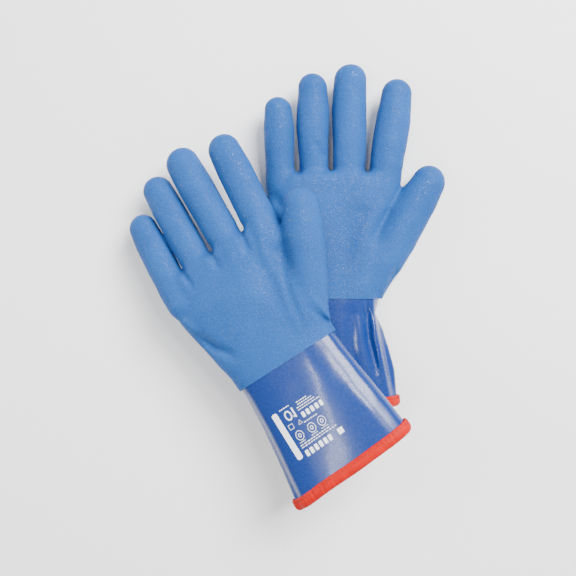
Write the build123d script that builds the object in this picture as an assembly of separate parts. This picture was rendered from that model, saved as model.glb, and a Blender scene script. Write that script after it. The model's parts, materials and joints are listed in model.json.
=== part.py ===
"""A pair of cold-handling gauntlet gloves lying on a table, the left glove resting across the right one.

Each glove is a smooth PVC base dip over a sewn fleece liner, with a rough grip coat from the wrist to the
fingertips and a bound hem. Row frame: +Z up, +Y along the right glove towards its fingertips, origin under the
middle of the pair's bounding box. Millimetres and degrees.
"""

import math
import os

from build123d import *

# Driving dimensions of one glove: size 10, 30 cm from the hem to the middle fingertip
GLOVE_HEIGHT = 36.0       # a stuffed hand or cuff, palm to back
EDGE_ROUND = 16.0         # rounding of its sides
COAT_LINE = 97.0          # where the rough grip coat begins, from the hem


# Hand and gauntlet seen from above: x towards the thumb, y from the hem, radius of each turn.
# It runs on past the hem, where the closed solids are cut square.
OUTLINE = [
    (62.0, -60.0, 23.0),
    (46.0, 80.0, 70.0),
    (45.0, 125.0, 60.0),
    (52.5, 170.0, 60.0),
    (53.0, 213.0, 23.0),
    (-63.0, 213.0, 23.0),
    (-61.0, 165.0, 80.0),
    (-49.0, 105.0, 70.0),
    (-49.5, 80.0, 70.0),
    (-65.0, -60.0, 23.0),
]

# Wall of the glove, from outside in
COAT_T = 1.0
SHELL_T = 1.2
LINER_T = 3.0
SHELL_AT = COAT_T
LINER_AT = SHELL_AT + SHELL_T
HAND_AT = LINER_AT + LINER_T

# Hem binding: a band folded over the cuff's edge
BINDING_T = 1.4
BINDING_WIDTH = 9.0
BINDING_FOLD = 2.0        # how far the fold stands past the cuff's edge
BINDING_FIT = 0.1         # between the band and the cuff
BAND_AT = SHELL_AT - BINDING_T - BINDING_FIT
GROOVE_DEPTH = 0.9        # pressed into the band by its row of stitches
GROOVE_WIDTH = 1.4
STITCH_LINE = 6.6         # from the hem
STITCH_PITCH = 4.5
STITCH_LENGTH = 2.6
STITCH_R = 0.35

# Knuckle cuts in the rigid coat pieces, which let the fingers bend
BEND = 60.0               # palm-ward travel of a knuckle from rest
STRAIGHTEN = 8.0          # back-ward travel of a knuckle from rest
CUT_GAP = 0.35
BODY_GAP = 0.35           # between neighbouring pieces that move against each other
THUMB_BEND = 40.0
INSIDE = 18.0             # how far a finger's root reaches into the palm
FAR = 200.0               # longer than any finger

# name: root x, root y, length past the web, then base, middle and tip widths
FINGERS = {
    "little": dict(x=-49.5, web=209.0, reach=63.0, widths=(24.6, 24.4, 21.6)),
    "ring": dict(x=-21.5, web=213.0, reach=79.0, widths=(25.2, 25.6, 22.8)),
    "middle": dict(x=8.0, web=215.0, reach=85.0, widths=(27.6, 28.6, 25.6)),
    "index": dict(x=40.5, web=213.0, reach=74.5, widths=(28.4, 27.6, 24.4)),
}
DIGITS = [*FINGERS, "thumb"]
KNUCKLE_1 = 11.5          # first bend, past the web
KNUCKLE_2_SHARE = 0.56    # second bend, as a share of the reach

# Thumb: where its line starts in the heel of the hand, and its half width along it
THUMB_ROOT = (27.0, 106.5)
THUMB_REACH = 119.0
THUMB_PROFILE = [(0.0, 12.5), (26.0, 15.6), (46.0, 16.2), (70.0, 14.8), (90.0, 14.0), (105.5, 13.5)]
THUMB_KNUCKLE = 90.0      # the thumb's bend, along its line

# How each glove's fingers and thumb rest: lean towards the thumb in the palm's plane, palm-ward curl out of it,
# and how far the lining fills their width out
REST_LEAN = {
    "right": {"little": -2.5, "ring": -1.0, "middle": 0.5, "index": 7.5, "thumb": 29.0},
    "left": {"little": 3.0, "ring": 2.0, "middle": 2.0, "index": 6.0, "thumb": 29.0},
}
REST_CURL = {
    "right": {"little": 6.0, "ring": 5.0, "middle": 4.0, "index": 5.0, "thumb": 2.0},
    "left": {"little": 8.0, "ring": 6.0, "middle": 4.0, "index": 1.0, "thumb": -4.0},
}
FULLNESS = {"right": 1.0, "left": 1.06}
PALM_SIDE = {"right": 1, "left": -1}        # the right glove lies palm up, the left palm down

# Where each glove lies: hem centre, then yaw, pitch and roll
RIGHT_HEM = (43.8, -106.2, 0.0)
LEFT_HEM = (53.5, -140.2, 45.9)
LEFT_YAW = 32.7
LEFT_PITCH = -5.5
LEFT_ROLL = -8.0


def palm_body(inset):
    """The hand and gauntlet up to the web, inset from the outside."""
    turns = [turn for _, _, turn in OUTLINE]
    corners = [(x, y) for x, y, _ in OUTLINE]
    outline = make_face(FilletPolyline(*corners, radius=turns, close=True))
    slab = extrude(offset(outline, -inset), GLOVE_HEIGHT / 2 - inset, both=True)
    top_and_bottom = slab.faces().sort_by(Axis.Z)
    rims = top_and_bottom[0].edges() + top_and_bottom[-1].edges()
    return fillet(rims, EDGE_ROUND - inset)


def digit_place(side, name):
    """The frame of a finger or the thumb: its root, +Y along it and +X across it in the palm's plane."""
    root = (*THUMB_ROOT, 0.0) if name == "thumb" else (FINGERS[name]["x"], FINGERS[name]["web"], 0.0)
    turn = Location((0, 0, 0), (0, 0, -REST_LEAN[side][name]))
    curl = Location((0, 0, 0), (PALM_SIDE[side] * REST_CURL[side][name], 0, 0))
    return Location(root) * turn * curl


def digit_profile(side, name):
    """(distance along the digit, half width) from its root to the middle of its domed tip, and its reach."""
    full = FULLNESS[side]
    if name == "thumb":
        return [(s, r * full) for s, r in THUMB_PROFILE], THUMB_REACH
    f = FINGERS[name]
    base, middle, tip = (w / 2 * full for w in f["widths"])
    return [
        (-INSIDE, base - 0.4),
        (0.0, base),
        (KNUCKLE_2_SHARE * f["reach"], middle),
        (f["reach"] - tip, tip),
    ], f["reach"]


def knuckles(name):
    """How far along a digit each of its knuckles is."""
    if name == "thumb":
        return [THUMB_KNUCKLE]
    return [KNUCKLE_1, KNUCKLE_2_SHARE * FINGERS[name]["reach"]]


def half_width(side, name, s):
    """A digit's half width at a distance along it."""
    profile, _ = digit_profile(side, name)
    for (s0, r0), (s1, r1) in zip(profile, profile[1:]):
        if s <= s1:
            return r0 + (r1 - r0) * (s - s0) / (s1 - s0)
    return profile[-1][1]


def digit(side, name, inset):
    """A finger or thumb as a closed solid of revolution, inset from the outside."""
    profile, _ = digit_profile(side, name)
    profile = [(r - inset, s) for s, r in profile]
    start, end = profile[0], profile[-1]
    edges = [
        Line((0, start[1]), start),
        Polyline(*profile),
        CenterArc((0, end[1]), end[0], 0, 90),
        Line((0, end[1] + end[0]), (0, start[1])),
    ]
    return digit_place(side, name) * revolve(make_face(edges), Axis.Y)


def whole(side, inset):
    """The whole glove as one closed solid inset from the outside, running on past the hem."""
    body = palm_body(inset)
    for name in DIGITS:
        body = body + digit(side, name, inset)
    return body


def from_hem(solid, hem=0.0):
    """The part of a solid beyond the hem."""
    return solid - Box(FAR * 2, FAR, FAR).moved(Location((0, hem - FAR / 2, 0)))


def knuckle_cut(side, name, number, both_sides=True, clear=0.0):
    """The wedge taken out of a coat at a knuckle, or with both_sides False all of the digit past its near face."""
    along = knuckles(name)[number]
    radius = half_width(side, name, along)
    bend = THUMB_BEND if name == "thumb" else BEND
    depth = radius + 4
    palm_side = CUT_GAP + depth * math.tan(math.radians(bend / 2))
    back_side = CUT_GAP + depth * math.tan(math.radians(STRAIGHTEN / 2))
    outline = [(-back_side, -depth), (-CUT_GAP, 0), (-palm_side, depth)]
    if both_sides:
        outline += [(palm_side, depth), (CUT_GAP, 0), (back_side, -depth)]
    else:
        outline += [(FAR, depth), (FAR, -depth)]
    outline = [(along + u + clear, PALM_SIDE[side] * v) for u, v in outline]
    wide = radius + 0.6
    sheet = Plane(origin=(-wide, 0, 0), x_dir=(0, 1, 0), z_dir=(1, 0, 0))
    wedge = extrude(sheet * make_face(Polyline(*outline, close=True)), 2 * wide)
    return digit_place(side, name) * wedge


def by_place(solids, point):
    """The solid nearest a point."""
    return min(solids, key=lambda s: (s.center() - point).length)


def digit_point(side, name, along):
    """A point on a digit's line."""
    return (digit_place(side, name) * Location((0, along, 0))).position


def coat_pieces(side, outer, inner):
    """The grip coat: the hand's piece, then two pieces for each finger and one for the thumb's tip."""
    coat = from_hem(outer - inner, COAT_LINE)
    for name in DIGITS:
        for number in range(len(knuckles(name))):
            coat = coat - knuckle_cut(side, name, number)
    solids = list(coat.solids())
    found = {"hand_coat": max(solids, key=lambda s: s.volume)}
    for name in FINGERS:
        first, second = knuckles(name)
        found[f"{name}_proximal_coat"] = by_place(solids, digit_point(side, name, (first + second) / 2))
        found[f"{name}_distal_coat"] = by_place(solids, digit_point(side, name, digit_profile(side, name)[1] - 12))
    found["thumb_tip_coat"] = by_place(solids, digit_point(side, "thumb", THUMB_REACH - 12))
    assert len(solids) == len(found), f"{side} coat came apart into {len(solids)} solids"
    return found


def inner_layer(side, outer, inner, kind):
    """A whole inner layer, cut at each first knuckle: the hand's piece, and one piece for each digit."""
    layer = outer - inner
    found = {}
    for name in DIGITS:
        past = knuckle_cut(side, name, 0, both_sides=False, clear=BODY_GAP)
        found[f"{name}_{kind}"] = (layer & past).solids().sort_by(SortBy.VOLUME)[-1]
    for name in DIGITS:
        layer = layer - knuckle_cut(side, name, 0, both_sides=False)
    found[f"hand_{kind}"] = layer.solids().sort_by(SortBy.VOLUME)[-1]
    return found


def cuff_slice(inset, low, high):
    """A slice of the gauntlet between two distances from the hem, inset from the outside."""
    slab = Box(FAR, high - low, FAR).moved(Location((0, (low + high) / 2, 0)))
    return palm_body(inset) & slab


def band_ring(outer, inner, low, high):
    """A ring round the gauntlet between two insets and two distances from the hem."""
    return cuff_slice(outer, low, high) - cuff_slice(inner, low - 1, high + 1)


def hem_binding():
    """The band folded over the cuff's edge, outside, round the edge and inside, with a groove for its stitches."""
    band = band_ring(BAND_AT, HAND_AT + BINDING_T + BINDING_FIT, -BINDING_FOLD, BINDING_WIDTH)
    cuff = band_ring(SHELL_AT - BINDING_FIT, HAND_AT + BINDING_FIT, 0, 2 * BINDING_WIDTH)
    groove = band_ring(
        BAND_AT - 1, BAND_AT + GROOVE_DEPTH, STITCH_LINE - GROOVE_WIDTH / 2, STITCH_LINE + GROOVE_WIDTH / 2
    )
    return (band - cuff - groove).solid()


def hem_stitches():
    """A row of short thread stitches lying in the band's groove."""
    ring = cuff_slice(BAND_AT + GROOVE_DEPTH - STITCH_R - 0.1, STITCH_LINE, 2 * BINDING_WIDTH)
    path = ring.faces().sort_by(Axis.Y)[0].outer_wire()
    count = round(path.length / STITCH_PITCH)
    stitches = []
    for number in range(count):
        start = path.position_at(number / count)
        end = path.position_at(number / count + STITCH_LENGTH / path.length)
        lay = Plane(origin=start, z_dir=end - start)
        stitches.append(extrude(lay * Circle(STITCH_R), (end - start).length).solid())
    return Compound(children=stitches)


def glove(side):
    """Every piece of one glove in its own frame, by name."""
    depths = (0.0, SHELL_AT, LINER_AT, HAND_AT)
    solid = {depth: whole(side, depth) for depth in depths}
    cut = {depth: from_hem(solid[depth]) for depth in depths}
    pieces = coat_pieces(side, cut[0.0], solid[SHELL_AT])
    pieces |= inner_layer(side, cut[SHELL_AT], solid[LINER_AT], "shell")
    pieces |= inner_layer(side, cut[LINER_AT], solid[HAND_AT], "liner")
    palm_half = Box(2 * FAR, 4 * FAR, FAR).moved(Location((0, 0, FAR / 2 * PALM_SIDE[side])))
    liner = pieces.pop("hand_liner")
    pieces["liner_palm_panel"] = (liner & palm_half).solids().sort_by(SortBy.VOLUME)[-1]
    pieces["liner_back_panel"] = (liner - palm_half).solids().sort_by(SortBy.VOLUME)[-1]
    pieces["hem_binding"] = hem_binding()
    pieces["hem_stitches"] = hem_stitches()
    return pieces


def glove_place(side):
    """Where a glove's own frame lies on the table, before the pair is centred."""
    if side == "right":
        return Location(RIGHT_HEM)
    turn = Location((0, 0, 0), (0, 0, LEFT_YAW))
    tilt = Location((0, 0, 0), (LEFT_PITCH, 0, 0)) * Location((0, 0, 0), (0, LEFT_ROLL, 0))
    return Location(LEFT_HEM) * turn * tilt


def main():
    os.makedirs("parts", exist_ok=True)
    placed = {}
    for side in ("right", "left"):
        for name, piece in glove(side).items():
            placed[f"{side}_{name}"] = piece.moved(glove_place(side))
    box = Compound([solid for piece in placed.values() for solid in piece.solids()]).bounding_box()
    centre = Location((-box.center().X, -box.center().Y, -box.min.Z))
    for name, piece in placed.items():
        export_step(piece.moved(centre), f"parts/{name}.step")
    print("moved to the row frame by", centre.position, "box", box.size)
    for side in ("right", "left"):
        here = centre * glove_place(side)
        for name in DIGITS:
            frame = here * digit_place(side, name)
            for number, along in enumerate(knuckles(name), 1):
                at = (frame * Location((0, along, 0))).position
                hinge = Plane(frame).x_dir * PALM_SIDE[side]
                print(side, name, number, [round(v / 1000, 5) for v in at], [round(v, 5) for v in hinge])


if __name__ == "__main__":
    main()
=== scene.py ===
"""Looks of the gloves: a moulded skin for each, cut at the joints, with cuff, lining, hem and print."""

import json
import math

import bmesh
import bpy
import numpy as np
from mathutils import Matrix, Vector


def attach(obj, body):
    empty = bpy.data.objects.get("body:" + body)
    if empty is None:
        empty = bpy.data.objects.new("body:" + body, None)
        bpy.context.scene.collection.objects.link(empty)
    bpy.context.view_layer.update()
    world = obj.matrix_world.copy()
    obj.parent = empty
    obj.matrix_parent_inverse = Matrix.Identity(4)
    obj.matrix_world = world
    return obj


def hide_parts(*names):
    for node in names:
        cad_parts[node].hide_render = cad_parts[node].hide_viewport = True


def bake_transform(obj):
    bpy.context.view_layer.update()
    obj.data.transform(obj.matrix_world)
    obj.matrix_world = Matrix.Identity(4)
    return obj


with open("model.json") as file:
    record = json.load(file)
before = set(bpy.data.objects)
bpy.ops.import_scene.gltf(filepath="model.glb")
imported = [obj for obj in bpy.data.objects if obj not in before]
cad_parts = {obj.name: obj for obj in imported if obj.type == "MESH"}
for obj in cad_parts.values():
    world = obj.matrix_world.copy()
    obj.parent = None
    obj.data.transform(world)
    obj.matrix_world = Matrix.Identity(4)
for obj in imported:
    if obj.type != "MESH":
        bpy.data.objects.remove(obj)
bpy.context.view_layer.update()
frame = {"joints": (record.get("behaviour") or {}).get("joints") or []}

MM = 0.001
FINGERS = ("little", "ring", "middle", "index")
PALM_SIDE = {"right": 1, "left": -1}
COAT_LINE = 97.0          # the grip coat's lower edge, from the hem
SHELL_INSET = 0.75        # the smooth shell under the coat's surface
SHELL_OVERLAP = 6.0       # how far the shell goes up under the coat
LINER_INSET = 4.0         # the lining under the shell
COAT_LIP = 1.3            # the coat's thickness at its lower edge
CUFF_END = 0.5            # where the shell and lining stop, inside the hem's fold
GRID = 1.8
LINER_GRID = 2.6

# ---------------------------------------------------------------- where each glove lies

# Each glove has its own frame in millimetres: x towards the thumb, y from the hem to the fingertips and
# z towards the palm. Yaw, pitch and roll, the reaches, leans and curls, and the joints' places along a digit
# are the part's own. The roots are the part's to within 1.5 mm, and the radii are a little fuller.
TURN = {"right": (0.0, 0.0, 0.0), "left": (32.7, -5.5, -8.0)}
DIGITS = {
    "little": dict(root=(-50.5, 209.0), reach=63.0, radii=(12.9, 12.8, 11.6)),
    "ring": dict(root=(-21.5, 213.0), reach=79.0, radii=(13.2, 13.6, 12.4)),
    "middle": dict(root=(9.3, 215.0), reach=85.0, radii=(14.5, 15.0, 13.9)),
    "index": dict(root=(42.0, 213.0), reach=74.5, radii=(14.8, 14.6, 13.2)),
    "thumb": dict(root=(27.0, 106.5), reach=119.0, radii=(12.5, 16.0, 14.6)),
}
LEAN = {
    "right": {"little": -2.5, "ring": -1.0, "middle": 0.5, "index": 7.5, "thumb": 29.0},
    "left": {"little": 3.0, "ring": 2.0, "middle": 2.0, "index": 6.0, "thumb": 29.0},
}
CURL = {
    "right": {"little": 6.0, "ring": 5.0, "middle": 4.0, "index": 5.0, "thumb": 2.0},
    "left": {"little": 8.0, "ring": 6.0, "middle": 4.0, "index": 1.0, "thumb": -4.0},
}
FULLNESS = {"right": 1.0, "left": 1.02}
ANCHOR = "ring"           # the finger whose knuckle fixes the glove's place
KNUCKLE_1 = 11.5
KNUCKLE_2_SHARE = 0.56
THUMB_KNUCKLE = 90.0
# How far the hem is shifted along the glove at its little finger's side and at its thumb's side
HEM_SIDES = (-58.0, 55.0)
HEM_SHIFT = {"right": (0.0, 6.0), "left": (-8.0, 0.0)}


def turn(axis, degrees):
    """A rotation matrix about x, y or z."""
    c, s = math.cos(math.radians(degrees)), math.sin(math.radians(degrees))
    i, j = {"x": (1, 2), "y": (2, 0), "z": (0, 1)}[axis]
    matrix = np.eye(3)
    matrix[i, i] = matrix[j, j] = c
    matrix[i, j], matrix[j, i] = -s, s
    return matrix


def digit_axis(side, name):
    """A digit's root and direction in the glove's frame, with z towards the palm."""
    lean, curl = math.radians(LEAN[side][name]), math.radians(CURL[side][name])
    along = np.array([math.sin(lean) * math.cos(curl), math.cos(lean) * math.cos(curl), math.sin(curl)])
    return np.array([*DIGITS[name]["root"], 0.0]), along


def joint_at(name):
    """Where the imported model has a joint, in metres."""
    return np.array(next(j["pos_m"] for j in frame["joints"] if j["name"] == name))


class Glove:
    """One glove's side and its way from its own frame to the row frame."""

    def __init__(self, side):
        self.side = side
        yaw, pitch, roll = TURN[side]
        self.matrix = turn("z", yaw) @ turn("x", pitch) @ turn("y", roll)
        self.matrix = self.matrix @ np.diag([1, 1, PALM_SIDE[side]])
        root, along = digit_axis(side, ANCHOR)
        knuckle = root + along * KNUCKLE_1
        self.offset = joint_at(f"{side}_{ANCHOR}_knuckle") - self.matrix @ knuckle * MM

    def place(self, points):
        """From the glove's frame to the row frame, with the gauntlet's hem set aslant."""
        aslant = np.interp(points[:, 0], HEM_SIDES, HEM_SHIFT[self.side])
        aslant = aslant * (1 - smooth(0, COAT_LINE, points[:, 1]))
        return (points + np.outer(aslant, (0, 1, 0))) @ self.matrix.T * MM + self.offset

    def turned(self, vectors):
        """Directions, from the glove's frame to the row frame."""
        return vectors @ self.matrix.T

    def spot(self, point):
        """One point, placed."""
        return Vector(self.place(np.array([point], float))[0])


# ---------------------------------------------------------------- the skin's field


def soft_min(a, b, k):
    """The smaller of two distances, rounded over k millimetres where they meet."""
    h = np.clip(0.5 + 0.5 * (b - a) / k, 0, 1)
    return b + (a - b) * h - k * h * (1 - h)


def smooth(edge_0, edge_1, x):
    """From 0 at one edge to 1 at the other, level at both."""
    t = np.clip((x - edge_0) / (edge_1 - edge_0), 0, 1)
    return t * t * (3 - 2 * t)


# Outline of the hand and gauntlet: distance from the hem, little finger's edge, thumb's edge, half height
OUTLINE = np.array(
    [
        (-30.0, -67.5, 58.5, 17.0),
        (0.0, -62.2, 55.2, 17.5),
        (30.0, -57.2, 51.8, 17.5),
        (60.0, -52.5, 48.4, 17.5),
        (90.0, -49.3, 45.6, 17.5),
        (110.0, -49.5, 44.0, 17.5),
        (140.0, -54.5, 45.0, 17.5),
        (170.0, -60.0, 47.0, 17.0),
        (195.0, -62.0, 51.0, 15.5),
        (209.0, -61.0, 53.0, 14.0),
        (222.0, -57.0, 50.0, 12.0),
    ]
)
END = 208.0               # where the palm ends between the fingers
END_ROUND = 8.0
SQUARENESS = 2.5          # of the flattened cross-section
# The right glove's thumb side folds in at the wrist: distance from the hem, how far the edge stands back
WAIST = np.array(
    [(30.0, 0.5), (52.0, 3.0), (68.0, 6.0), (84.0, 12.0), (97.0, 8.0), (112.0, 3.0), (130.0, 0.0)]
)


def outline_at(side, y):
    """The outline's left edge, right edge and half height at distances from the hem."""
    left, right, high = (np.interp(y, OUTLINE[:, 0], OUTLINE[:, k]) for k in (1, 2, 3))
    if side == "right":
        right = right - np.interp(y, WAIST[:, 0], WAIST[:, 1])
    return left, right, high


def body_field(side, p):
    """The hand and gauntlet without digits."""
    x, y, z = p.T
    left, right, high = outline_at(side, y)
    half = (right - left) / 2
    u = np.abs(x - (left + right) / 2) / half
    v = np.abs(z) / high
    q = (u**SQUARENESS + v**SQUARENESS) ** (1 / SQUARENESS)
    sides = (q - 1) * high
    return -soft_min(-sides, END - y, END_ROUND)


FLATTENING = 1.14         # a digit's width over its thickness
BURIED = -24.0            # where a finger's form starts, inside the palm
THUMB_SWELL = ((26.0, 16.6), (48.0, 17.4))
THUMB_WAIST = 70.0


def digit_field(side, name, p):
    """A tapered, slightly flattened finger."""
    root, along = digit_axis(side, name)
    d = DIGITS[name]
    base, middle, tip = (r * FULLNESS[side] for r in d["radii"])
    tip_at = d["reach"] - tip
    if name == "thumb":
        stations = [(0.0, base), *THUMB_SWELL, (THUMB_WAIST, middle + 1), (THUMB_KNUCKLE, middle)]
    else:
        stations = [(BURIED, base - 1.5), (0.0, base), (KNUCKLE_2_SHARE * d["reach"], middle)]
    stations.append((tip_at, tip))
    q = p - root
    s = q @ along
    where, radius = zip(*stations)
    r = np.interp(s, where, radius)
    clamped = np.clip(s, where[0], tip_at)
    off = q - clamped[:, None] * along
    flat = off.copy()
    flat[:, 2] *= FLATTENING
    return np.sqrt((flat**2).sum(1)) - r


def line_distance(p, points):
    """The distance in plan to a run of points, and how far along it each point falls, 0 to 1."""
    best = np.full(len(p), 1e9)
    share = np.zeros(len(p))
    count = len(points) - 1
    for number in range(count):
        a, b = np.array(points[number], float), np.array(points[number + 1], float)
        ab = b - a
        t = np.clip(((p[:, :2] - a) @ ab) / (ab @ ab), 0, 1)
        gap = np.linalg.norm(p[:, :2] - a - t[:, None] * ab, axis=1)
        nearer = gap < best
        best = np.where(nearer, gap, best)
        share = np.where(nearer, (number + t) / count, share)
    return best, share


# Folds and ridges: face (+1 palm, -1 back), points in plan, half width, height (negative is a groove)
FOLDS = {
    "both": [
        (-1, [(-35.5, 214), (-34.5, 200), (-33.0, 188)], 3.0, -2.0),
        (-1, [(-6.8, 218), (-6.5, 202), (-6.0, 188)], 3.2, -2.2),
        (-1, [(25.0, 217), (23.5, 202), (21.0, 186)], 3.4, -2.4),
        (1, [(-35.5, 213), (-34.5, 203)], 3.0, -2.0),
        (1, [(-6.8, 217), (-6.5, 207)], 3.0, -2.0),
        (1, [(25.0, 216), (24.0, 205)], 3.0, -2.0),
        (1, [(24, 178), (8, 150), (4, 118)], 9.0, -2.2),
    ],
    "left": [
        (-1, [(44, 216), (34, 186), (29, 168)], 5.0, 1.5),
        (-1, [(44, 166), (36, 140), (30, 110)], 4.2, 1.3),
        (-1, [(34, 166), (27, 138), (22, 108)], 4.2, 1.2),
        (-1, [(53, 182), (45, 164), (39, 146)], 5.0, -2.2),
        (-1, [(26, 180), (22, 160), (18, 140)], 6.0, -1.2),
        (-1, [(8, 206), (6, 175), (4, 140)], 8.0, 0.7),
        (-1, [(-54, 158), (-45, 138), (-33, 122)], 4.4, -2.4),
        (-1, [(-60, 178), (-50, 152)], 4.0, 1.0),
        (-1, [(40, 122), (43, 106), (46, 94)], 2.4, -1.6),
        (-1, [(46, 128), (48, 108), (49, 90)], 2.6, 1.4),
        (-1, [(9, 112), (9, 60), (9, -14)], 15.0, 0.75),
        (-1, [(30, 60), (36, 30), (40, 0)], 6.0, 0.35),
        (-1, [(-46, 96), (-48, 60), (-53, 20), (-55, -6)], 3.6, -1.6),
    ],
    "right": [
        (1, [(34, 100), (38, 70), (45, 30), (50, 0)], 4.0, -3.4),
        (1, [(22, 96), (25, 60), (33, 25)], 3.4, -2.6),
        (1, [(28, 98), (31, 65), (38, 30)], 3.0, 1.6),
        (1, [(10, 94), (10, 60), (14, 20)], 5.0, -1.6),
        (1, [(-21, 232), (-15, 222), (-10, 219)], 3.0, -1.6),
        (1, [(41, 101), (47, 118), (50, 128)], 3.0, -1.5),
        (1, [(-58, 190), (-50, 178), (-40, 168)], 5.0, -1.2),
        (1, [(26, 140), (34, 158), (46, 176)], 5.0, -1.4),
    ],
}


def fold_height(side, p):
    """How far the skin stands out or in from its plain form."""
    height = np.zeros(len(p))
    for face, points, half_width, tall in FOLDS["both"] + FOLDS[side]:
        gap, share = line_distance(p, points)
        fade = np.sin(np.pi * np.clip(share, 0.02, 0.98)) ** 0.6
        facing = smooth(-2.0, 8.0, p[:, 2] * face)
        height += tall * np.exp(-((gap / half_width) ** 2)) * fade * facing
    return height


def waves(p, scale, seed):
    """A slow, smooth, repeatable unevenness between about -1 and 1."""
    rng = np.random.default_rng(seed)
    total = np.zeros(len(p))
    for _ in range(7):
        direction = rng.normal(size=3)
        direction /= np.linalg.norm(direction)
        total += np.sin(p @ direction * (2 * np.pi / scale) * rng.uniform(0.6, 1.5) + rng.uniform(0, 6.28))
    return total / 3.2


# The hollow of the palm: middle and half size in plan, and depth
DISH_AT = (-6, 168)
DISH_SIZE = (26, 34)
DISH_DEPTH = 3.0
WEB = 1.6                 # how far neighbouring digits run together
KNUCKLE_BLEND = 4.0
WRIST_BLEND = 5.0
THUMB_BLEND = 5.0
WAVE_SEED = {"right": 3, "left": 8}


def skin_field(side, p, digits=True):
    """The outside of the glove's grip coat."""
    x, y, z = p.T
    body = body_field(side, p)
    palm = smooth(120, 185, y)
    across = ((x - DISH_AT[0]) / DISH_SIZE[0]) ** 2 + ((y - DISH_AT[1]) / DISH_SIZE[1]) ** 2
    body = body + DISH_DEPTH * np.exp(-across) * smooth(0, 10, z)
    if digits:
        fingers = np.full(len(p), 1e9)
        for name in FINGERS:
            fingers = soft_min(fingers, digit_field(side, name, p), WEB)
        body = soft_min(body, fingers, KNUCKLE_BLEND + WRIST_BLEND * (1 - palm))
        body = soft_min(body, digit_field(side, "thumb", p), THUMB_BLEND)
    seed = WAVE_SEED[side]
    # the stiff gauntlet is more even than the hand
    uneven = 0.25 + 0.75 * smooth(85, 125, y)
    slow = 0.45 * uneven * waves(p, 62.0, seed)
    return body - fold_height(side, p) - slow - 0.14 * uneven * waves(p, 23.0, seed + 1)


def gradient(field, p):
    """The field's slope in x, y and z."""
    step = 0.25
    parts = []
    for axis in range(3):
        shift = np.zeros(3)
        shift[axis] = step
        parts.append((field(p + shift) - field(p - shift)) / (2 * step))
    return np.stack(parts, 1)


def outward(field, p):
    """The direction straight out of the form."""
    slope = gradient(field, p)
    return slope / np.linalg.norm(slope, axis=1)[:, None]


BATCHES = 24              # the field is worked out in parts to spare memory


def surface_net(field, low, high, step):
    """Points and quads where the field changes sign."""
    axes = [np.arange(a, b + step, step) for a, b in zip(low, high)]
    shape = tuple(len(a) for a in axes)
    points = np.stack(np.meshgrid(*axes, indexing="ij"), -1).reshape(-1, 3)
    value = np.concatenate([field(part) for part in np.array_split(points, BATCHES)]).reshape(shape)
    inside = value < 0
    corners = [(i, j, k) for i in (0, 1) for j in (0, 1) for k in (0, 1)]
    cells = tuple(n - 1 for n in shape)

    def at(array, corner):
        return array[tuple(slice(c, c + n) for c, n in zip(corner, cells))]

    total = np.zeros((*cells, 3))
    count = np.zeros(cells)
    for a in corners:
        for axis in range(3):
            if a[axis]:
                continue
            b = tuple(1 if k == axis else a[k] for k in range(3))
            va, vb = at(value, a), at(value, b)
            crossing = at(inside, a) != at(inside, b)
            t = np.where(crossing, va / np.where(va == vb, 1, va - vb), 0)
            for k in range(3):
                total[..., k] += np.where(crossing, a[k] + (t if k == axis else 0), 0)
            count += crossing
    active = count > 0
    index = np.full(cells, -1)
    index[active] = np.arange(active.sum())
    origin = np.stack(np.nonzero(active), 1)
    vertices = (origin + total[active] / count[active][:, None]) * step + np.array([a[0] for a in axes])
    quads = []
    for axis in range(3):
        u, v = (axis + 1) % 3, (axis + 2) % 3
        first = [slice(None)] * 3
        second = [slice(None)] * 3
        first[axis], second[axis] = slice(0, -1), slice(1, None)
        start, end = inside[tuple(first)], inside[tuple(second)]
        crossing = start != end
        where = np.stack(np.nonzero(crossing), 1)
        where = where[(where[:, u] > 0) & (where[:, v] > 0)]
        where = where[(where[:, u] < cells[u]) & (where[:, v] < cells[v])]
        ring = []
        for du, dv in ((-1, -1), (0, -1), (0, 0), (-1, 0)):
            cell = where.copy()
            cell[:, u] += du
            cell[:, v] += dv
            ring.append(index[tuple(cell.T)])
        ring = np.stack(ring, 1)
        leaving = start[tuple(where.T)]
        ring[~leaving] = ring[~leaving][:, ::-1]
        quads.append(ring)
    quads = np.concatenate(quads)
    return vertices, quads[(quads >= 0).all(1)]


def settle(vertices, quads, field, rounds=6):
    """Evens the net out and draws it onto the field's surface."""
    edges = np.unique(np.sort(np.concatenate([quads[:, [k, (k + 1) % 4]] for k in range(4)]), 1), axis=0)
    number = np.bincount(edges.ravel(), minlength=len(vertices))[:, None]
    for _ in range(rounds):
        total = np.zeros_like(vertices)
        np.add.at(total, edges[:, 0], vertices[edges[:, 1]])
        np.add.at(total, edges[:, 1], vertices[edges[:, 0]])
        vertices = vertices * 0.5 + total / number * 0.5
        slope = gradient(field, vertices)
        vertices = vertices - field(vertices)[:, None] * slope / np.maximum((slope**2).sum(1), 0.2)[:, None]
    return vertices


# ---------------------------------------------------------------- materials


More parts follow.
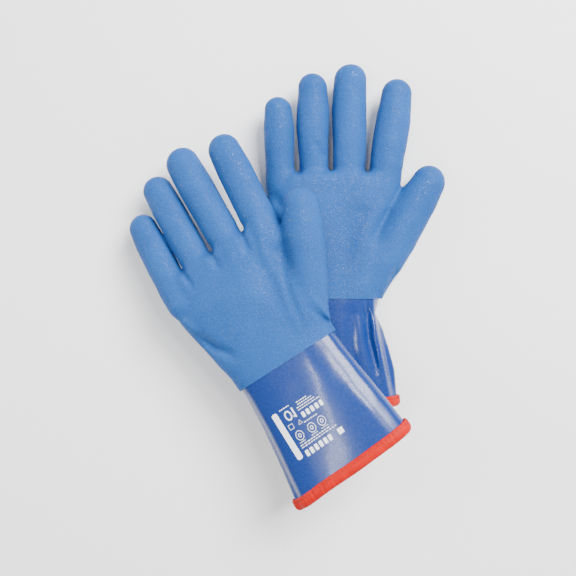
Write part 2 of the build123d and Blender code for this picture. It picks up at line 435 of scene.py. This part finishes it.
class Nodes:
    """A material's node tree, with short ways to add and join nodes. Scales are per metre."""

    def __init__(self, name):
        self.material = bpy.data.materials.new(name)
        self.material.use_nodes = True
        self.tree = self.material.node_tree
        self.shader = self.tree.nodes["Principled BSDF"]

    def add(self, kind, **values):
        """A node, with each value set on the input or the property of that name."""
        node = self.tree.nodes.new(kind)
        for key, value in values.items():
            if key in node.inputs:
                node.inputs[key].default_value = value
            else:
                setattr(node, key, value)
        return node

    def join(self, a, out, b, into):
        self.tree.links.new(a.outputs[out], b.inputs[into])

    def noise(self, scale, detail=2.0, roughness=0.5):
        node = self.add("ShaderNodeTexNoise", Scale=scale, Detail=detail, Roughness=roughness)
        self.join(self.place, "Object", node, "Vector")
        return node

    @property
    def place(self):
        """The one node that gives each point's place on the object."""
        found = self.tree.nodes.get("place")
        if found is None:
            found = self.add("ShaderNodeTexCoord")
            found.name = "place"
        return found

    def ramp(self, source, out, stops):
        """Colours between stops, driven by another node."""
        node = self.add("ShaderNodeValToRGB")
        ramp = node.color_ramp
        while len(ramp.elements) < len(stops):
            ramp.elements.new(0.5)
        for element, (at, colour) in zip(ramp.elements, stops):
            element.position = at
            element.color = (*colour, 1)
        self.join(source, out, node, "Fac")
        return node

    def bump(self, source, out, strength, distance, under=None):
        """Relief driven by another node, on top of the bump under it."""
        node = self.add("ShaderNodeBump", Strength=strength, Distance=distance)
        self.join(source, out, node, "Height")
        if under is not None:
            self.join(under, "Normal", node, "Normal")
        return node


def grey(v):
    """One value for all three colours."""
    return (v, v, v)


def grip_coat():
    """Matt blue PVC with a sandy grain of uneven tone; where the grain stands up the colour is painted paler
    and whiter, as a painted highlight of bright specks.
    """
    m = Nodes("grip_coat")
    cloud = m.noise(24.0, 3.0)
    colour = m.ramp(cloud, "Fac", [(0.3, (0.0125, 0.070, 0.250)), (0.7, (0.0170, 0.088, 0.300))])
    grain = m.noise(1000.0, 3.0, 0.65)
    # the grain's own uneven tone, plus a painted highlight: its raised peaks are painted paler and whiter
    grain_tone_and_painted_highlight = m.ramp(grain, "Fac", [(0.32, (0.84, 0.87, 0.90)), (0.68, (1.22, 1.14, 1.08))])
    mix = m.add("ShaderNodeMix", data_type="RGBA", blend_type="MULTIPLY")
    mix.inputs["Factor"].default_value = 1.0
    m.tree.links.new(colour.outputs["Color"], mix.inputs[6])
    m.tree.links.new(grain_tone_and_painted_highlight.outputs["Color"], mix.inputs[7])
    m.tree.links.new(mix.outputs[2], m.shader.inputs["Base Color"])
    shine = m.ramp(grain, "Fac", [(0.54, grey(0.60)), (0.68, grey(0.20))])
    m.join(shine, "Color", m.shader, "Roughness")
    glint = m.ramp(grain, "Fac", [(0.58, grey(0.10)), (0.70, grey(0.8))])
    m.join(glint, "Color", m.shader, "Specular IOR Level")
    bumps = m.bump(m.noise(300.0, 2.0), "Fac", 0.30, 0.0007)
    bumps = m.bump(grain, "Fac", 0.75, 0.0005, bumps)
    m.join(bumps, "Normal", m.shader, "Normal")
    return m.material


def smooth_shell():
    """Glossy darker blue PVC, faintly uneven."""
    m = Nodes("smooth_shell")
    cloud = m.noise(14.0, 2.0)
    colour = m.ramp(cloud, "Fac", [(0.3, (0.0045, 0.027, 0.160)), (0.7, (0.0058, 0.033, 0.182))])
    m.join(colour, "Color", m.shader, "Base Color")
    fine = m.noise(420.0, 4.0, 0.6)
    shine = m.ramp(fine, "Fac", [(0.3, grey(0.20)), (0.7, grey(0.34))])
    m.join(shine, "Color", m.shader, "Roughness")
    bumps = m.bump(m.noise(75.0, 2.0), "Fac", 0.10, 0.0012)
    bumps = m.bump(fine, "Fac", 0.16, 0.0003, bumps)
    m.join(bumps, "Normal", m.shader, "Normal")
    m.shader.inputs["Specular IOR Level"].default_value = 0.32
    m.shader.inputs["Coat Weight"].default_value = 0.25
    m.shader.inputs["Coat Roughness"].default_value = 0.12
    return m.material


def hem_band():
    """Orange-red band with a fine crumple."""
    m = Nodes("hem_band")
    cloud = m.noise(120.0, 2.0)
    colour = m.ramp(cloud, "Fac", [(0.3, (0.40, 0.0030, 0.0006)), (0.7, (0.52, 0.0055, 0.0010))])
    m.join(colour, "Color", m.shader, "Base Color")
    fine = m.noise(700.0, 2.0)
    shine = m.ramp(fine, "Fac", [(0.3, grey(0.50)), (0.7, grey(0.65))])
    m.join(shine, "Color", m.shader, "Roughness")
    bumps = m.bump(m.noise(240.0, 2.0), "Fac", 0.25, 0.0006)
    bumps = m.bump(fine, "Fac", 0.2, 0.0002, bumps)
    m.join(bumps, "Normal", m.shader, "Normal")
    m.shader.inputs["Specular IOR Level"].default_value = 0.15
    return m.material


def fleece():
    """Off-white pile."""
    m = Nodes("fleece_liner")
    tufts = m.add("ShaderNodeTexVoronoi", Scale=520.0, Randomness=1.0)
    m.join(m.place, "Object", tufts, "Vector")
    colour = m.ramp(tufts, "Distance", [(0.0, (0.80, 0.77, 0.70)), (0.8, (0.50, 0.47, 0.41))])
    m.join(colour, "Color", m.shader, "Base Color")
    bumps = m.bump(m.noise(180.0, 4.0), "Fac", 0.6, 0.0012)
    bumps = m.bump(tufts, "Distance", 0.7, 0.0008, bumps)
    m.join(bumps, "Normal", m.shader, "Normal")
    m.shader.inputs["Roughness"].default_value = 0.95
    m.shader.inputs["Sheen Weight"].default_value = 0.5
    m.shader.inputs["Sheen Roughness"].default_value = 0.6
    return m.material


def thread():
    """Twisted red thread."""
    m = Nodes("hem_thread")
    twist = m.noise(1500.0, 2.0)
    colour = m.ramp(twist, "Fac", [(0.3, (0.26, 0.006, 0.002)), (0.7, (0.42, 0.018, 0.006))])
    m.join(colour, "Color", m.shader, "Base Color")
    m.join(m.bump(twist, "Fac", 0.5, 0.0002), "Normal", m.shader, "Normal")
    m.shader.inputs["Roughness"].default_value = 0.6
    return m.material


def print_ink():
    """White ink, a little worn."""
    m = Nodes("print_ink")
    wear = m.noise(420.0, 4.0, 0.6)
    colour = m.ramp(wear, "Fac", [(0.26, (0.30, 0.40, 0.62)), (0.36, (0.86, 0.88, 0.92))])
    m.join(colour, "Color", m.shader, "Base Color")
    m.join(m.bump(wear, "Fac", 0.15, 0.0001), "Normal", m.shader, "Normal")
    m.shader.inputs["Roughness"].default_value = 0.4
    return m.material


MATERIALS = {
    "grip_coat": grip_coat(),
    "smooth_shell": smooth_shell(),
    "hem_band": hem_band(),
    "fleece_liner": fleece(),
    "hem_thread": thread(),
    "print_ink": print_ink(),
}


# ---------------------------------------------------------------- pieces


def make_piece(name, vertices, faces, material, normals=None):
    """A smooth-shaded object, with its own vertex normals where they are given."""
    mesh = bpy.data.meshes.new(name)
    mesh.from_pydata([tuple(v) for v in vertices], [], [tuple(int(i) for i in f) for f in faces])
    mesh.update()
    mesh.shade_smooth()
    if normals is not None:
        mesh.normals_split_custom_set_from_vertices([tuple(n) for n in normals])
    obj = bpy.data.objects.new(name, mesh)
    bpy.context.scene.collection.objects.link(obj)
    mesh.materials.append(MATERIALS[material])
    return obj


def part_of(vertices, faces, chosen):
    """The faces chosen, with their own vertices."""
    faces = faces[chosen]
    used, renumbered = np.unique(faces, return_inverse=True)
    return vertices[used], renumbered.reshape(faces.shape)


CUT_TOLERANCE = 0.01


def cut_at(vertices, faces, y, keep_above):
    """Cuts a mesh square across the glove at a distance from the hem."""
    mesh = bpy.data.meshes.new("cut")
    mesh.from_pydata([tuple(v) for v in vertices], [], [tuple(int(i) for i in f) for f in faces])
    bm = bmesh.new()
    bm.from_mesh(mesh)
    bmesh.ops.bisect_plane(
        bm,
        geom=bm.verts[:] + bm.edges[:] + bm.faces[:],
        plane_co=(0, y, 0),
        plane_no=(0, 1, 0),
        clear_inner=keep_above,
        clear_outer=not keep_above,
        dist=CUT_TOLERANCE,
    )
    bmesh.ops.triangulate(bm, faces=[f for f in bm.faces if len(f.verts) > 4])
    bm.verts.index_update()
    vertices = np.array([v.co for v in bm.verts])
    faces = [[v.index for v in f.verts] for f in bm.faces]
    bm.free()
    bpy.data.meshes.remove(mesh)
    return vertices, faces


# Corners of the boxes that hold a glove's skin and its cuff
LOW_CORNER = (-72, -14, -27)
SKIN_CORNER = (100, 306, 34)
CUFF_CORNER = (72, 8, 27)  # y from the cuff's top
OWN_REACH = 3.0           # a face this near a digit's form belongs to the digit
THUMB_PIECE_START = 14.0  # how far under its joint the thumb's piece starts
# How far to each side of its joint bend_digit sets its points, at most half way to the next joint
KNUCKLE_REACH = 12.5
MIDDLE_REACH = 13.5
THUMB_REACH = 13


def digit_pieces(side, middles):
    """The faces of each digit's pieces, given the middles of all faces: label, faces chosen, digit."""
    nearest = np.full(len(middles), 1e9)
    owner = np.full(len(middles), "little")
    along = np.zeros(len(middles))
    for name in (*FINGERS, "thumb"):
        distance = digit_field(side, name, middles)
        root, axis = digit_axis(side, name)
        closer = distance < nearest
        nearest = np.where(closer, distance, nearest)
        owner = np.where(closer, name, owner)
        along = np.where(closer, (middles - root) @ axis, along)
    pieces = []
    for name in FINGERS:
        mine = (owner == name) & (nearest < OWN_REACH)
        split = (KNUCKLE_1 + KNUCKLE_2_SHARE * DIGITS[name]["reach"]) / 2
        pieces.append((f"{side}_{name}_base_skin", mine & (along > -1) & (along <= split), name))
        pieces.append((f"{side}_{name}_tip_skin", mine & (along > split), name))
    mine = (owner == "thumb") & (nearest < OWN_REACH)
    start = THUMB_KNUCKLE - THUMB_PIECE_START
    pieces.append((f"{side}_thumb_tip_skin", mine & (along > start), "thumb"))
    return pieces


def bend_digit(obj, glove, name):
    """Bakes a digit's piece in place and hides the imported parts it stands for, after working out points on
    the two sides of its joint.
    """
    side = glove.side
    root, axis = digit_axis(side, name)
    knuckle_2 = KNUCKLE_2_SHARE * DIGITS[name]["reach"]
    half_way = (knuckle_2 - KNUCKLE_1) / 2

    def spots(joint, reach):
        return [glove.spot(root + axis * (joint + s)) for s in (-reach, reach)]

    if name == "thumb":
        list(spots(THUMB_KNUCKLE, THUMB_REACH))
        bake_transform(obj)
        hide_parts(*(f"{side}_{n}" for n in ("thumb_tip_coat", "thumb_shell", "thumb_liner")))
    elif obj.name.endswith("base_skin"):
        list(spots(KNUCKLE_1, min(KNUCKLE_REACH, half_way)))
        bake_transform(obj)
        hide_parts(*(f"{side}_{name}_{n}" for n in ("proximal_coat", "shell", "liner")))
    else:
        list(spots(knuckle_2, min(MIDDLE_REACH, half_way)))
        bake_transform(obj)
        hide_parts(f"{side}_{name}_distal_coat")


def make_hand(glove, field, vertices, faces):
    """The hand's coat, with a lower edge standing over the smooth shell."""
    side = glove.side
    hand, hand_faces = cut_at(vertices, faces, COAT_LINE, True)
    edge = np.abs(hand[:, 1] - COAT_LINE) < CUT_TOLERANCE
    out = outward(field, hand)
    ring = np.nonzero(edge)[0]
    inner = hand[ring] - out[ring] * COAT_LIP
    lip = {a: len(hand) + k for k, a in enumerate(ring)}
    sides = [pair for face in hand_faces for pair in zip(face, face[1:] + face[:1])]
    steps = [(a, b) for a, b in sides if edge[a] and edge[b]]
    known = set(steps)
    wall = [(b, a, lip[a], lip[b]) for a, b in steps if (b, a) not in known]
    all_points = np.vstack([hand, inner])
    obj = make_piece(f"{side}_hand_skin", glove.place(all_points), [*hand_faces, *wall], "grip_coat")

    # the wall of the lower edge faces the hem, the rest faces as the field does
    mesh = obj.data
    to_hem = glove.turned(np.array([[0.0, -1.0, 0.0]]))
    every = np.vstack([glove.turned(out), np.tile(to_hem, (len(ring), 1))])
    vertex_of = np.zeros(len(mesh.loops), int)
    mesh.loops.foreach_get("vertex_index", vertex_of)
    corner_normals = every[vertex_of]
    wall_corners = len(wall) * 4
    corner_normals[-wall_corners:] = to_hem
    mesh.normals_split_custom_set([tuple(n) for n in corner_normals])
    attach(obj, f"{side}_glove")
    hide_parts(f"{side}_hand_coat")


def make_skin(glove):
    """The grip coat, cut into the pieces that move."""
    side = glove.side

    def field(p):
        return skin_field(side, p)

    vertices, quads = surface_net(field, LOW_CORNER, SKIN_CORNER, GRID)
    vertices = settle(vertices, quads, field)
    if side == "left":
        quads = quads[:, ::-1]
    normals = glove.turned(outward(field, vertices))
    world = glove.place(vertices)
    hand = np.ones(len(quads), bool)
    for label, chosen, name in digit_pieces(side, vertices[quads].mean(1)):
        hand &= ~chosen
        v, f = part_of(np.hstack([world, normals]), quads, chosen)
        obj = make_piece(label, v[:, :3], f, "grip_coat", v[:, 3:])
        bend_digit(obj, glove, name)
    make_hand(glove, field, *part_of(vertices, quads, hand))


def make_gauntlet(glove):
    """The smooth shell below the coat's edge, and the lining inside it."""
    side = glove.side

    def field(p):
        return skin_field(side, p, digits=False) + SHELL_INSET

    def surface(top, grid):
        wide, over, high = CUFF_CORNER
        vertices, quads = surface_net(field, LOW_CORNER, (wide, top + over, high), grid)
        vertices = settle(vertices, quads, field, 4)
        return vertices, quads[:, ::-1] if side == "left" else quads

    shell_top = COAT_LINE + SHELL_OVERLAP
    vertices, faces = cut_at(*surface(shell_top, GRID), shell_top, False)
    vertices, faces = cut_at(vertices, faces, CUFF_END, True)
    obj = make_piece(f"{side}_gauntlet", glove.place(vertices), faces, "smooth_shell")
    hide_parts(f"{side}_hand_shell")
    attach(obj, f"{side}_glove")

    vertices, faces = surface(END, LINER_GRID)
    vertices = vertices - LINER_INSET * outward(field, vertices)
    vertices, faces = cut_at(vertices, faces, CUFF_END, True)
    faces = [face[::-1] for face in faces]
    obj = make_piece(f"{side}_lining", glove.place(vertices), faces, "fleece_liner")
    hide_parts(f"{side}_liner_palm_panel", f"{side}_liner_back_panel")
    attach(obj, f"{side}_glove")


HEM_POINTS = 420
HEM_INSET = 0.7           # the loop's depth under the coat's surface
HEM_AT = 2.0              # the loop's distance from the hem
WAVINESS = 0.35
PUCKERING = 0.35
RUFFLE = 0.3              # of the band's loose lip, which starts at LIP_START
LIP_START = 6
# The band's section from the lining, round the edge, to the stitched groove and the lip on the outside:
# out from the cuff's skin, and towards the fingers
BAND_INSIDE = [(-6.0, 7.0), (-6.4, 4.0), (-6.2, 0.0), (-5.0, -2.0)]
BAND_EDGE = [(-2.6, -2.9), (0.0, -2.4), (1.5, -1.0), (2.1, 1.2), (2.1, 3.2)]
BAND_GROOVE = [(1.7, 4.6), (1.35, 5.2), (1.75, 5.9), (1.55, 6.9), (0.5, 7.4), (-0.3, 7.4)]
PUCKER_PITCHES = (3.4, 5.3, 11.0)
PUCKER_SEED = {"left": 21, "right": 22}
STITCH_EVERY = 6          # loop points from one stitch to the next
STITCH_SIDES = 6
STITCH_OUT = 1.55         # from the loop, in the band's groove
STITCH_UP = 3.2
# each stitch's rise out of the groove and its radius, from end to end
STITCH_FORM = ((0.0, 0.25), (0.35, 0.38), (0.35, 0.38), (0.0, 0.25))


def upward(heights):
    """Steps along the glove."""
    return np.outer(heights, (0, 1, 0))


def hem_loop(side):
    """Evenly spaced points round the cuff, and their outward directions, in the glove's frame."""
    left, right, high = outline_at(side, HEM_AT)
    angles = np.linspace(0, 2 * np.pi, 4 * HEM_POINTS, endpoint=False)
    c, s = np.cos(angles), np.sin(angles)
    squared = 2 / SQUARENESS
    x = (left + right) / 2 + (right - left) / 2 * np.sign(c) * np.abs(c) ** squared
    z = high * np.sign(s) * np.abs(s) ** squared
    ring = np.stack([x, np.full(len(angles), HEM_AT), z], 1)
    lengths = np.linalg.norm(np.roll(ring, -1, 0) - ring, axis=1)
    at = np.concatenate([[0], np.cumsum(lengths)])
    even = np.linspace(0, at[-1], HEM_POINTS, endpoint=False)
    closed = np.vstack([ring, ring[:1]])
    ring = np.stack([np.interp(even, at, closed[:, k]) for k in range(3)], 1)

    def field(p):
        return skin_field(side, p, digits=False) + HEM_INSET

    for _ in range(4):
        slope = gradient(field, ring)
        slope[:, 1] = 0
        ring = ring - field(ring)[:, None] * slope / (slope**2).sum(1)[:, None]
    return ring, slope / np.linalg.norm(slope, axis=1)[:, None]


def make_hem(glove):
    """The puckered band folded over the cuff's edge, and its stitches."""
    side = glove.side
    ring, out = hem_loop(side)
    lengths = np.linalg.norm(np.roll(ring, -1, 0) - ring, axis=1)
    total = lengths.sum()
    share = np.concatenate([[0], np.cumsum(lengths)[:-1]]) / total
    wave = 0.9 * np.sin(share * 2 * np.pi * 3 + 1.0) + 0.6 * np.sin(share * 2 * np.pi * 5)
    rng = np.random.default_rng(PUCKER_SEED[side])
    pucker = np.zeros(HEM_POINTS)
    for pitch in PUCKER_PITCHES:
        number = round(total / pitch)
        ripple = np.sin(share * number * 2 * np.pi + rng.uniform(0, 6.28))
        pucker += ripple * (0.55 + 0.45 * np.sin(share * 14))
    pucker /= len(PUCKER_PITCHES)
    make_band(glove, ring, out, pucker, wave)
    make_stitches(glove, ring + out * STITCH_OUT + upward(STITCH_UP + WAVINESS * wave), out)


def make_band(glove, ring, out, pucker, wave):
    """The hem's band: its section carried round the cuff."""
    rows = []
    for away, up in BAND_INSIDE + BAND_EDGE + BAND_GROOVE:
        swell = PUCKERING * pucker * (1 if away > 0 else 0.3)
        ruffle = RUFFLE * pucker if up > LIP_START else 0
        rows.append(ring + out * (away + swell)[:, None] + upward(up - HEM_AT + WAVINESS * wave + ruffle))
    count = HEM_POINTS
    faces = []
    for r in range(len(rows) - 1):
        for k in range(count):
            a, b = r * count + k, r * count + (k + 1) % count
            faces.append((a, b, b + count, a + count))
    if glove.side == "right":
        faces = [face[::-1] for face in faces]
    band = make_piece(f"{glove.side}_hem_band", glove.place(np.concatenate(rows)), faces, "hem_band")
    soft = band.modifiers.new("soft", "SUBSURF")
    soft.levels = 1
    soft.render_levels = 1
    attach(band, f"{glove.side}_glove")
    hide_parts(f"{glove.side}_hem_binding")


def make_stitches(glove, spots, out):
    """Short curved threads lying in the band's groove."""
    vertices, faces = [], []
    towards_fingers = np.array([0, 1.0, 0])
    last = (len(STITCH_FORM) - 1) * STITCH_SIDES
    for start in range(0, len(spots) - len(STITCH_FORM) + 1, STITCH_EVERY):
        base = len(vertices)
        for k, (rise, radius) in enumerate(STITCH_FORM, start):
            centre = spots[k] + out[k] * rise
            for number in range(STITCH_SIDES):
                angle = 2 * math.pi * number / STITCH_SIDES
                around = math.cos(angle) * out[k] + math.sin(angle) * towards_fingers
                vertices.append(centre + radius * around)
        for row in range(base, base + last, STITCH_SIDES):
            for number in range(STITCH_SIDES):
                a, b = row + number, row + (number + 1) % STITCH_SIDES
                faces.append((a, b, b + STITCH_SIDES, a + STITCH_SIDES))
        faces.append(tuple(base + k for k in range(STITCH_SIDES)))
        faces.append(tuple(base + last + k for k in range(STITCH_SIDES)))
    obj = make_piece(f"{glove.side}_hem_stitches", glove.place(np.array(vertices)), faces, "hem_thread")
    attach(obj, f"{glove.side}_glove")
    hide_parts(f"{glove.side}_hem_stitches")


# ---------------------------------------------------------------- print on the left gauntlet's back


class Marks:
    """Flat marks drawn in the glove's x and y."""

    def __init__(self):
        self.vertices = []
        self.faces = []
        self.rng = np.random.default_rng(5)

    def bar(self, x0, y0, x1, y1, r):
        """A bar with rounded corners, in strips that can follow the cuff."""
        low, high = y0 + r, y1 - r
        corner = np.array([0, 0.15, 0.5])
        straight = np.linspace(low, high, 2 + int((y1 - y0) / 2))
        levels = np.concatenate([y0 + r * corner, straight, y1 - r * corner[::-1]])
        start = len(self.vertices)
        for y in levels:
            beyond = np.clip(max(low - y, y - high), 0, r)
            inset = r - math.sqrt(max(r * r - beyond * beyond, 0))
            for x in np.linspace(x0 + inset, x1 - inset, 4):
                self.vertices.append((x, y))
        for row in range(len(levels) - 1):
            for column in range(3):
                a = start + 4 * row + column
                self.faces.append((a, a + 1, a + 5, a + 4))

    def ring(self, x, y, wide, tall, line, corners=20):
        """An outlined round, or with few corners an outlined polygon."""
        start = len(self.vertices)
        for number in range(corners):
            angle = 2 * math.pi * (number + 0.5) / corners - math.pi / 2
            c, k = math.cos(angle), math.sin(angle)
            self.vertices.append((x + wide * c, y + tall * k))
            self.vertices.append((x + (wide - line) * c, y + (tall - line) * k))
        for number in range(corners):
            a, b = start + 2 * number, start + 2 * ((number + 1) % corners)
            self.faces.append((a, b, b + 1, a + 1))

    def dashes(self, x0, x1, y, tall, wide, gap):
        """A row of dashes of uneven length."""
        x = x0
        while x < x1:
            length = wide * self.rng.uniform(0.7, 1.5)
            self.bar(x, y, min(x + length, x1 + gap), y + tall, min(tall, wide) * 0.25)
            x += length + gap


def draw_marks():
    """Generic marks: a bar, a square, rows of blocks and dashes, outlined signs and the size, 10."""
    marks = Marks()
    marks.bar(-35.2, 30.0, -30.0, 68.0, 1.6)
    marks.bar(5.0, 28.4, 9.8, 33.2, 0.5)
    for number in range(6):
        marks.bar(-26.6 + 4.5 * number, 28.6, -23.6 + 4.5 * number, 33.4, 0.7)
    marks.dashes(-27.0, 6.0, 35.8, 0.7, 1.8, 0.8)
    marks.dashes(-27.0, 2.0, 37.6, 0.7, 1.8, 0.8)
    # three round signs, each with a row of dashes under it
    for x in (-22.8, -11.0, -1.2):
        marks.ring(x, 44.8, 3.5, 3.8, 0.45)
        marks.ring(x, 44.8, 1.5, 1.8, 0.6, 6)
        marks.dashes(x - 3.4, x + 2.4, 39.6, 0.6, 0.9, 0.5)
    # a square and a triangle
    marks.ring(-25.2, 53.4, 3.0, 2.8, 0.45, 4)
    marks.ring(-16.8, 52.6, 2.3, 2.2, 0.5, 3)
    marks.dashes(-14.0, -2.0, 50.6, 0.7, 1.4, 0.6)
    for number in range(5):
        marks.bar(-12.4 + 4.3 * number, 54.0, -9.6 + 4.3 * number, 58.4, 0.8)
    for y, x0, x1 in ((60.4, -13.0, 7.0), (62.3, -13.0, 4.0), (64.2, -11.0, 2.0), (66.1, -11.0, -2.0)):
        marks.dashes(x0, x1, y, 0.7, 1.3, 0.6)
    # the size, 10
    marks.ring(-22.4, 61.4, 3.1, 3.9, 1.15)
    marks.bar(-17.6, 57.5, -16.2, 65.3, 0.2)
    marks.bar(-18.8, 58.2, -17.6, 59.4, 0.2)
    marks.dashes(-27.0, -18.0, 67.4, 0.7, 1.2, 0.5)
    return marks


INK = 0.07                # how far the ink stands off the shell
BACK = -17.5              # about where the gauntlet's back is


def make_print(glove):
    """The marks, laid on the back of the gauntlet."""
    marks = draw_marks()
    flat = np.array(marks.vertices)
    points = np.column_stack([flat, np.full(len(flat), BACK)])

    def field(p):
        return skin_field(glove.side, p, digits=False) + SHELL_INSET - INK

    up = np.array([0, 0, 0.25])
    for _ in range(6):
        slope = (field(points + up) - field(points - up)) / 0.5
        points[:, 2] -= field(points) / np.where(np.abs(slope) < 0.3, -0.3, slope)
    faces = [face[::-1] for face in marks.faces]
    obj = make_piece(f"{glove.side}_print", glove.place(points), faces, "print_ink")
    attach(obj, f"{glove.side}_glove")


# ---------------------------------------------------------------- build


for side in ("right", "left"):
    glove = Glove(side)
    make_skin(glove)
    make_gauntlet(glove)
    make_hem(glove)
    if side == "left":
        make_print(glove)


# ---------------------------------------------------------------- floor, light and camera


PAIR = (0, 0, 0.03)
# Name, place, what it faces, width and height in metres, watts, and turn about its own axis in degrees.
# The strip lies along the left gauntlet.
LIGHTS = (
    ("key", (0.75, 0.85, 1.25), PAIR, (0.8, 0.8), 74, 0),
    ("spark", (0.42, 0.30, 1.45), PAIR, (0.22, 0.22), 8, 0),
    ("low", (1.05, -1.1, 0.9), PAIR, (1.5, 1.5), 9, 0),
    ("fill", (-1.55, 0.25, 0.75), PAIR, (0.8, 1.2), 22, 0),
    ("strip", (-0.34, -0.36, 1.4), (0.035, -0.12, 0.08), (0.05, 0.9), 7, 32.7),
)
WORLD_LIGHT = 0.5


def make_floor():
    """A plain pale floor."""
    bpy.ops.mesh.primitive_plane_add(size=6, location=(0, 0, 0))
    floor = bpy.context.object
    floor.name = "floor"
    m = Nodes("floor")
    grain = m.noise(400.0, 2.0)
    colour = m.ramp(grain, "Fac", [(0.0, grey(0.9)), (1.0, grey(0.93))])
    m.join(colour, "Color", m.shader, "Base Color")
    m.shader.inputs["Roughness"].default_value = 0.9
    floor.data.materials.append(m.material)


def light_up():
    """Area lights over the pair and a white surround."""
    for name, place, target, size, power, spin in LIGHTS:
        light = bpy.data.lights.new(name, "AREA")
        light.shape = "RECTANGLE"
        light.size, light.size_y = size
        light.energy = power
        obj = bpy.data.objects.new(name, light)
        bpy.context.scene.collection.objects.link(obj)
        obj.location = place
        direction = Vector(target) - Vector(place)
        obj.rotation_euler = direction.to_track_quat("-Z", "Y").to_euler()
        obj.rotation_euler.rotate_axis("Z", math.radians(spin))
    world = bpy.data.worlds.new("studio")
    bpy.context.scene.world = world
    world.use_nodes = True
    world.node_tree.nodes["Background"].inputs["Color"].default_value = (1, 1, 1, 1)
    world.node_tree.nodes["Background"].inputs["Strength"].default_value = WORLD_LIGHT


VIEW_DISTANCE = 0.65
VIEW_WIDTH = 0.501
VIEW_CENTRE = (-0.0001, -0.0097)
MID_HEIGHT = 0.02         # the pair's, from which the distance is measured
SENSOR = 36


def set_camera():
    """Straight above, with the whole pair in view."""
    camera = bpy.data.cameras.new("camera")
    camera.sensor_width = SENSOR
    camera.lens = SENSOR * VIEW_DISTANCE / VIEW_WIDTH
    viewer = bpy.data.objects.new("camera", camera)
    viewer.location = (*VIEW_CENTRE, VIEW_DISTANCE + MID_HEIGHT)
    bpy.context.scene.collection.objects.link(viewer)
    bpy.context.scene.camera = viewer


make_floor()
light_up()
set_camera()

bpy.context.view_layer.update()
